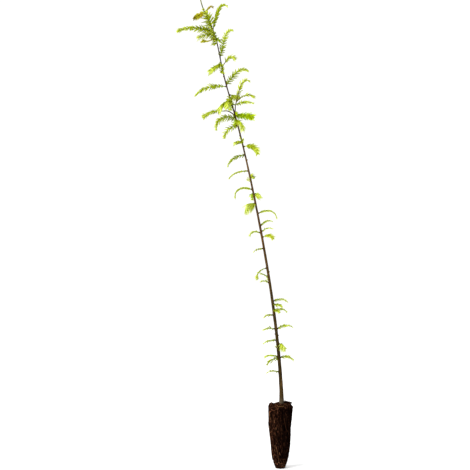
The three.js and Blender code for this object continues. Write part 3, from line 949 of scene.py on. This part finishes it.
# %% Sizes of the plug
FOOT_RADIUS, CHAMFER_HEIGHT, CHAMFER_RADIUS, CHAMFER_BULGE = 10, 22, 17.4, 0.8
RIM_HEIGHT, RIM_RADIUS, RIM_ROUNDING, SIDE_BULGE = 141, 28.3, 3, 0.8
SOIL_TOP, SOIL_EDGE = 148.5, RIM_RADIUS - RIM_ROUNDING
LUMP_WAVES = [(3, 19), (5, -13), (8, 31)]
LUMP = 0.5


def plug_radius(height):
    if height < CHAMFER_HEIGHT:
        return FOOT_RADIUS + (CHAMFER_RADIUS - FOOT_RADIUS) * (height / CHAMFER_HEIGHT) ** CHAMFER_BULGE
    share = min(1, (height - CHAMFER_HEIGHT) / (RIM_HEIGHT - CHAMFER_HEIGHT))
    return CHAMFER_RADIUS + (RIM_RADIUS - CHAMFER_RADIUS) * share ** SIDE_BULGE


def lump_at(turn, height):
    fade = min(1, height / CHAMFER_HEIGHT)
    return LUMP * fade * sum(math.sin(lumps * turn + height / rise) for lumps, rise in LUMP_WAVES)


def soil_height(out):
    return SOIL_TOP - (SOIL_TOP - RIM_HEIGHT - RIM_ROUNDING) * (out / SOIL_EDGE) ** 2


print("the plug is", 2 * RIM_RADIUS, "mm across its rim and", SOIL_TOP, "mm deep")

# %% [markdown]
# The peat is nearly black, with brown threads and flecks in it. They are painted thickest on its left, as
# painted light from the upper left, and are also thicker on its top and round its foot.

# %% Peat finish
# where the painted light from the upper left fades out across the plug, and where its top and foot turn
# browner
LIT_SIDE, SHADED_SIDE = -24, 16
BROWN_TOP_FULL, BROWN_TOP_START = 148, 138
BROWN_FOOT_FULL, BROWN_FOOT_START = 8, 28
BROWN_TOP_SHARE = 0.9
DARK_PEAT = paint(3, 1, 1)
# colour, how much of it shows anywhere, and how much more on the painted-light left, the top and the foot
PEAT_STREAKS = (paint(32, 16, 9), 0.3, 0.7)
PEAT_THREADS = (paint(70, 40, 26), 0.08, 0.5)
PEAT_FLECKS = (paint(116, 72, 50), 0.1, 0.8)


def make_peat():
    peat = plain_finish("peat", paint(24, 13, 8), roughness=1, gloss=0)
    place = place_on(peat)
    # the left side is painted browner as painted light from the upper left, and the top and the foot are
    # browner too
    side = mask(coordinate(place, "X"), SHADED_SIDE * MM, LIT_SIDE * MM)
    top = mask(coordinate(place, "Z"), BROWN_TOP_START * MM, BROWN_TOP_FULL * MM)
    foot = mask(coordinate(place, "Z"), BROWN_FOOT_START * MM, BROWN_FOOT_FULL * MM)
    painted_light_and_browning = side * side + BROWN_TOP_SHARE * top + foot

    def lay(ground, pattern, color, share_anywhere, share_browned):
        return blend(pattern * (share_anywhere + share_browned * painted_light_and_browning), ground, color)

    streaks = mask(speckle(place, size=4, detail=4.0, stretch=6), start=0.42, end=0.66)
    fibres = speckle(place, size=1.2, detail=6.0, stretch=3)
    flecks = mask(speckle(place, size=2.4, detail=2.0, stretch=2), start=0.6, end=0.68)
    streaked = lay(DARK_PEAT, streaks, *PEAT_STREAKS)
    threaded = lay(streaked, mask(fibres, start=0.56, end=0.7), *PEAT_THREADS)
    color = lay(threaded, flecks, *PEAT_FLECKS)
    feed(peat, Base_Color=color, Normal=bumped(fibres, strength=0.6, depth=0.8))
    return peat


peat = make_peat()
print("the peat's finish has", len(peat.node_tree.nodes), "nodes")

# %% The mould's outline
PLUG_STEP = 1.5


def plug_outline():
    points = [(0, 0), (FOOT_RADIUS / 2, 0), (FOOT_RADIUS, 0)]
    rows = round(RIM_HEIGHT / PLUG_STEP)
    heights = [RIM_HEIGHT * row / rows for row in range(1, rows + 1)]
    points += [(plug_radius(height), height) for height in heights]
    rings = round(SOIL_EDGE / PLUG_STEP)
    outs = [SOIL_EDGE * ring / rings for ring in range(rings, 0, -1)]
    points += [(out, soil_height(out)) for out in outs]
    return points + [(0, SOIL_TOP)]


print("points on the plug's outline:", len(plug_outline()))

# %% The block of peat
PLUG_TURNS = 150
CLOD, CLOD_SIZE, CRUMB, CRUMB_SIZE = 0.9, 4.5, 0.6, 1.9
# smoothness, step in size and number of steps of the clods' noise
CLOD_NOISE = (1, 2, 3)
GRAIN_STRETCH = 2
GROOVES, GROOVE_DEPTH, GROOVE_POWER, GROOVE_WANDER = 18, 2.2, 6, 20
PEAT_PROUD, FLAT_FOOT = 0.7, 4


def make_plug():
    bm = bmesh.new()
    corners = [bm.verts.new((out, 0, height)) for out, height in plug_outline()]
    edges = [bm.edges.new(pair) for pair in zip(corners, corners[1:])]
    bmesh.ops.spin(bm, geom=corners + edges, axis=UP, angle=2 * math.pi, steps=PLUG_TURNS, use_merge=True)
    bmesh.ops.remove_doubles(bm, verts=bm.verts, dist=0.001)
    bmesh.ops.recalc_face_normals(bm, faces=bm.faces)
    bm.normal_update()
    shifts = []
    for vert in bm.verts:
        place = Vector((vert.co.x, vert.co.y, vert.co.z / GRAIN_STRETCH))
        clods = CLOD * noise.fractal(place / CLOD_SIZE, *CLOD_NOISE)
        relief = clods + CRUMB * noise.noise(place / CRUMB_SIZE)
        turn = math.atan2(vert.co.y, vert.co.x)
        relief += lump_at(turn, vert.co.z) + PEAT_PROUD
        if vert.co.z < RIM_HEIGHT:
            wave = GROOVES / 2 * turn + noise.noise(place / GROOVE_WANDER)
            relief -= GROOVE_DEPTH * math.sin(wave) ** GROOVE_POWER
        shifts.append(vert.normal * relief * min(1, vert.co.z / FLAT_FOOT))
    for vert, shift in zip(bm.verts, shifts):
        vert.co += shift
        vert.co.z = max(vert.co.z, 0)
    cast(bm, "peat_plug", [peat], ["root_plug"])


make_plug()

# %% [markdown]
# ## Roots, crumbs and fibres
# Roots run down the plug where the cell's wall turned them, and mat together round its foot. Each is a thin
# limb whose line creeps over the peat, wandering to both sides. Crumbs and a flake of bark lie on the top,
# and loose fibres stick out of the peat. What is small and many is one mesh of its kind.

# %% The line of a root
ROOT_STEP, LEAST_ROOT_STEPS = 2, 5
ROOT_PROUD, LOWEST_ROOT = (-0.15, 0.45), 1.2
SLANT_KEPT, SLANT_JITTER, SLANT_TURN = 0.8, 0.2, 0.6


def peat_point(turn, height, proud):
    out = plug_radius(height) + lump_at(turn, height) + PEAT_PROUD + proud
    return Vector((out * math.cos(turn), out * math.sin(turn), height))


def limb_line(points, out_of_peat):
    """Steps of point, heading and the direction across, for a limb that lies on the peat."""
    line = []
    for step, point in enumerate(points):
        ahead = points[min(step + 1, len(points) - 1)] - points[max(step - 1, 0)]
        heading = ahead.normalized()
        line.append((point, heading, heading.cross(out_of_peat(point)).normalized()))
    return line


def root_line(chance, turn, height, length, fall):
    """A root that creeps over the peat from a turn and height, falling steadily and wandering."""
    points = []
    slant = 0
    for _ in range(max(LEAST_ROOT_STEPS, round(length / ROOT_STEP))):
        points.append(peat_point(turn, height, chance.uniform(*ROOT_PROUD)))
        slant = SLANT_KEPT * slant + chance.gauss(0, SLANT_JITTER)
        height = min(max(height - ROOT_STEP * fall, LOWEST_ROOT), RIM_HEIGHT)
        turn += (slant * ROOT_STEP * SLANT_TURN + (1 - fall) * ROOT_STEP) / plug_radius(height)
    return limb_line(points, lambda point: Vector((point.x, point.y, 0)))

# %% Roots on the plug
ROOT_COUNT, ROOT_SIDES, ROOT_TAPER, ROOT_RADII = 420, 5, 0.5, (0.2, 0.45)
MATTED_EVERY, MAT_HEIGHTS, MAT_FALLS = 4, (4, 26), (0.05, 0.4)
SIDE_HEIGHTS, SIDE_FALLS = (30, 139), (0.8, 1)
LONG_EVERY, LONG_LENGTHS, SHORT_LENGTHS = 8, (16, 60), (4, 14)
# weights of dark and brown roots anywhere, and of more brown and pale roots on the left, as painted light
# from the upper left, and in the mat round the foot
DARK_ROOTS, BROWN_ROOTS, MORE_BROWN_ROOTS, MORE_PALE_ROOTS = 6, 0.6, 8, 2.5
# turn, height of the upper end, length, how much of it falls, radius, and finish (0 dark, 1 brown, 2 pale)
# of the roots that stand out
PROUD_ROOTS = rows_of("""
208 131 11 1 0.75 2
214 118 16 0.95 0.5 1
238 30 30 0.6 0.5 1
262 12 26 0.1 0.6 1
285 24 26 0.7 0.5 1
20 96 40 0.95 0.6 1
95 120 60 0.9 0.7 1
140 70 50 0.85 0.6 2
""")
ROOT_COLORS = {"dark": paint(19, 9, 5), "brown": paint(60, 35, 21), "pale": paint(118, 82, 54)}
ROOT_ROUGHNESS, ROOT_GLOSS = 0.9, 0.02
root_finishes = finish_set("root_{}", ROOT_COLORS, ROOT_ROUGHNESS, ROOT_GLOSS)


def chance_root(chance, index):
    matted = index % MATTED_EVERY == 0
    height = chance.uniform(*(MAT_HEIGHTS if matted else SIDE_HEIGHTS))
    fall = chance.uniform(*(MAT_FALLS if matted else SIDE_FALLS))
    length = chance.uniform(*(LONG_LENGTHS if index % LONG_EVERY == 1 else SHORT_LENGTHS))
    turn = chance.uniform(0, 360)
    # roots on the left are painted browner and paler as painted light from the upper left, and so are the
    # matted roots round the foot
    painted_light_and_browning = 0.5 - 0.5 * math.cos(math.radians(turn))
    painted_light_and_browning = max(painted_light_and_browning * painted_light_and_browning, matted)
    shares = (DARK_ROOTS, BROWN_ROOTS + MORE_BROWN_ROOTS * painted_light_and_browning, MORE_PALE_ROOTS * painted_light_and_browning)
    kind = chance.choices((0, 1, 2), shares)[0]
    return turn, height, length, fall, chance.uniform(*ROOT_RADII), kind


def make_roots():
    chance = random.Random("roots")
    bm = bmesh.new()
    rows = PROUD_ROOTS + [chance_root(chance, index) for index in range(ROOT_COUNT)]
    for turn, height, length, fall, radius, kind in rows:
        line = root_line(chance, math.radians(turn), height, length, fall)
        grow_limb(bm, line, taper(radius, radius * ROOT_TAPER), ROOT_SIDES, int(kind))
    cast(bm, "plug_roots", root_finishes)


make_roots()

# %% Crumbs on top of the soil
# distance out, turn, length, width and height of the six large ones
LARGE_CRUMBS = rows_of("""
16 355 12 17 13
20 20 12 12 9
20 178 13 11 9
21 225 11 8 5
20 285 12 7 4
17 100 12 9 6
""")
LARGE_ROUNDS, SMALL_ROUNDS = 4, 2
SMALL_CRUMBS, SMALL_SIZES, SMALL_STRETCH, SMALL_HEIGHT = 320, (0.8, 3), (0.6, 1.6), 0.7
CRUMB_REACH, CLEAR_MIDDLE = 26.5, 0.04
CRUMB_ROUGHNESS, CRUMB_DENTS = 0.5, 5


def add_crumb(bm, chance, out, turn, length, width, height, rounds):
    ball = bmesh.ops.create_icosphere(bm, subdivisions=rounds, radius=0.5)["verts"]
    seed = chance.uniform(0, 100)
    middle = outward(turn) * out + UP * soil_height(out)
    for vert in ball:
        rough = 1 + CRUMB_ROUGHNESS * noise.noise(vert.co * CRUMB_DENTS + Vector((seed, 0, 0)))
        local = Vector((vert.co.x * width, vert.co.y * length, vert.co.z * height)) * rough
        vert.co = middle + outward(turn) * local.x + UP.cross(outward(turn)) * local.y + UP * local.z


def make_crumbs():
    chance = random.Random("crumbs")
    bm = bmesh.new()
    for row in LARGE_CRUMBS:
        add_crumb(bm, chance, *row, LARGE_ROUNDS)
    for _ in range(SMALL_CRUMBS):
        size = chance.uniform(*SMALL_SIZES)
        out = CRUMB_REACH * math.sqrt(chance.uniform(CLEAR_MIDDLE, 1))
        length = size * chance.uniform(*SMALL_STRETCH)
        width = size * chance.uniform(*SMALL_STRETCH)
        turn = chance.uniform(0, 360)
        add_crumb(bm, chance, out, turn, length, width, size * SMALL_HEIGHT, SMALL_ROUNDS)
    cast(bm, "peat_crumbs", [peat])


make_crumbs()

# %% A flake of bark on the soil
FLAKE_SIZE, FLAKE_TILT, FLAKE_PLACE, FLAKE_CUTS = (16, 10, 2.4), 12, (18.5, -1, 151.6), 7
RAGGED, RAGS_ROUND, RAG_SEED = 0.5, 1.4, 3
WARP, WARPS_ALONG, WARP_SEED = 1.1, 3, 8


def make_flake():
    bm = bmesh.new()
    bmesh.ops.create_cube(bm, size=1)
    bmesh.ops.subdivide_edges(bm, edges=bm.edges, cuts=FLAKE_CUTS, use_grid_fill=True)
    tilt = Matrix.Rotation(math.radians(FLAKE_TILT), 3, "Y")
    length, width, height = FLAKE_SIZE
    for vert in bm.verts:
        x, y, z = vert.co
        ragged = 1 + RAGGED * noise.noise(Vector((math.atan2(y, x) * RAGS_ROUND, RAG_SEED, 0)))
        warped = WARP * noise.noise(Vector((x * WARPS_ALONG, y * WARPS_ALONG, WARP_SEED)))
        local = Vector((x * length * ragged, y * width * ragged, z * height + warped))
        vert.co = Vector(FLAKE_PLACE) + tilt @ local
    cast(bm, "bark_flake", [peat])


make_flake()

# %% Roots that lie on the soil
# distance out, turns from and to, height of the arch, radius
SOIL_ROOTS = rows_of("""
24.5 250 296 1.8 0.7
14 200 248 1.5 0.5
17 296 340 1.2 0.5
20 90 140 2 0.6
""")
SOIL_ROOT_STEPS, SOIL_ROOT_SIDES, SOIL_ROOT_TAPER = 16, 7, 0.7
WAVER, WAVERS_ALONG = 0.6, 6


def make_soil_roots():
    bm = bmesh.new()
    for out, start, end, arch, radius in SOIL_ROOTS:
        points = []
        for step in range(SOIL_ROOT_STEPS + 1):
            share = step / SOIL_ROOT_STEPS
            waver = WAVER * noise.noise(Vector((out, WAVERS_ALONG * share, 0)))
            lift = arch * math.sin(math.pi * share) + waver
            points.append(outward(start + (end - start) * share) * out + UP * (soil_height(out) + lift))
        line = limb_line(points, lambda point: UP)
        grow_limb(bm, line, taper(radius, radius * SOIL_ROOT_TAPER), SOIL_ROOT_SIDES)
    root_on_soil = plain_finish("root_on_soil", paint(88, 60, 34), ROOT_ROUGHNESS, ROOT_GLOSS)
    cast(bm, "soil_roots", [root_on_soil])


make_soil_roots()

# %% Fibres that stick out of the peat
FIBRE_COUNT, ON_TOP_EVERY = 110, 3
FIBRE_OUT, FIBRE_HEIGHTS, FIBRE_PROUD = (8, 25), (8, 138), -0.3
FIBRE_TURN, FIBRE_RISES, FIBRE_BEND, FIBRE_LENGTHS = 70, (5, 50), 30, (3, 8)
FIBRE_FOOT_RADIUS, FIBRE_TIP_RADIUS, FIBRE_SIDES = 0.16, 0.07, 4


def make_fibres():
    chance = random.Random("fibres")
    bm = bmesh.new()
    for index in range(FIBRE_COUNT):
        turn = chance.uniform(0, 360)
        out = chance.uniform(*FIBRE_OUT)
        height = chance.uniform(*FIBRE_HEIGHTS)
        foot = peat_point(math.radians(turn), height, FIBRE_PROUD)
        if index % ON_TOP_EVERY == 0:
            foot = outward(turn) * out + UP * soil_height(out)
        rise = chance.uniform(*FIBRE_RISES)
        turn += chance.uniform(-FIBRE_TURN, FIBRE_TURN)
        line = shoot_line(foot, turn, rise, rise + FIBRE_BEND, chance.uniform(*FIBRE_LENGTHS))
        grow_limb(bm, line, taper(FIBRE_FOOT_RADIUS, FIBRE_TIP_RADIUS), FIBRE_SIDES)
    cast(bm, "peat_fibres", [root_finishes[1]])


make_fibres()

# %% [markdown]
# ## Floor, light and camera
# The seedling stands on a plain white floor in a bright white room, so its thin outline is clear from every
# side. A wide soft light from the upper left gives the stem and the plug their shape. The camera stands
# level with the middle of the plant, far enough back that the plant is hardly foreshortened. Here places
# and sizes are in metres.

# %% Floor and soft light
FLOOR_SIDE, FLOOR_WHITE = 12, (0.95, 0.95, 0.95, 1)
ROOM_WHITE, ROOM_BRIGHTNESS = (1, 1, 1, 1), 1.07


def make_floor():
    bm = bmesh.new()
    bmesh.ops.create_grid(bm, x_segments=1, y_segments=1, size=FLOOR_SIDE / 2)
    mesh = bpy.data.meshes.new("floor")
    bm.to_mesh(mesh)
    bm.free()
    mesh.materials.append(plain_finish("white_floor", FLOOR_WHITE, roughness=1, gloss=0))
    floor = put("floor", mesh)


def soft_light(name, place, aim, size, watts):
    light = bpy.data.lights.new(name, "AREA")
    light.size = size
    light.energy = watts
    lamp = put(name, light)
    lamp.location = place
    lamp.rotation_euler = (Vector(aim) - Vector(place)).to_track_quat("-Z", "Y").to_euler()


make_floor()
room = bpy.data.worlds.new("white_room")
room.use_nodes = True
glow = room.node_tree.nodes["Background"].inputs
glow["Color"].default_value = ROOM_WHITE
glow["Strength"].default_value = ROOM_BRIGHTNESS
bpy.context.scene.world = room
soft_light("window_left", place=(-2.2, -1.5, 2.0), aim=(-0.05, 0, 0.5), size=2.2, watts=130)

# %% Camera
PHOTO_SIDE = 470
PIXEL = 2.308 * MM
FOOT_PIXEL = (280.2, 467.8)
CAMERA_DISTANCE = 2.4


def make_camera():
    camera = bpy.data.cameras.new("camera")
    camera.lens = camera.sensor_width * CAMERA_DISTANCE / (PHOTO_SIDE * PIXEL)
    stand = put("camera", camera)
    middle = PHOTO_SIDE / 2
    stand.location = ((middle - FOOT_PIXEL[0]) * PIXEL, -CAMERA_DISTANCE, (FOOT_PIXEL[1] - middle) * PIXEL)
    stand.rotation_euler = (math.pi / 2, 0, 0)
    bpy.context.scene.camera = stand
    bpy.context.scene.view_settings.view_transform = "Standard"
    print("the camera's lens is", round(camera.lens), "mm long")


make_camera()
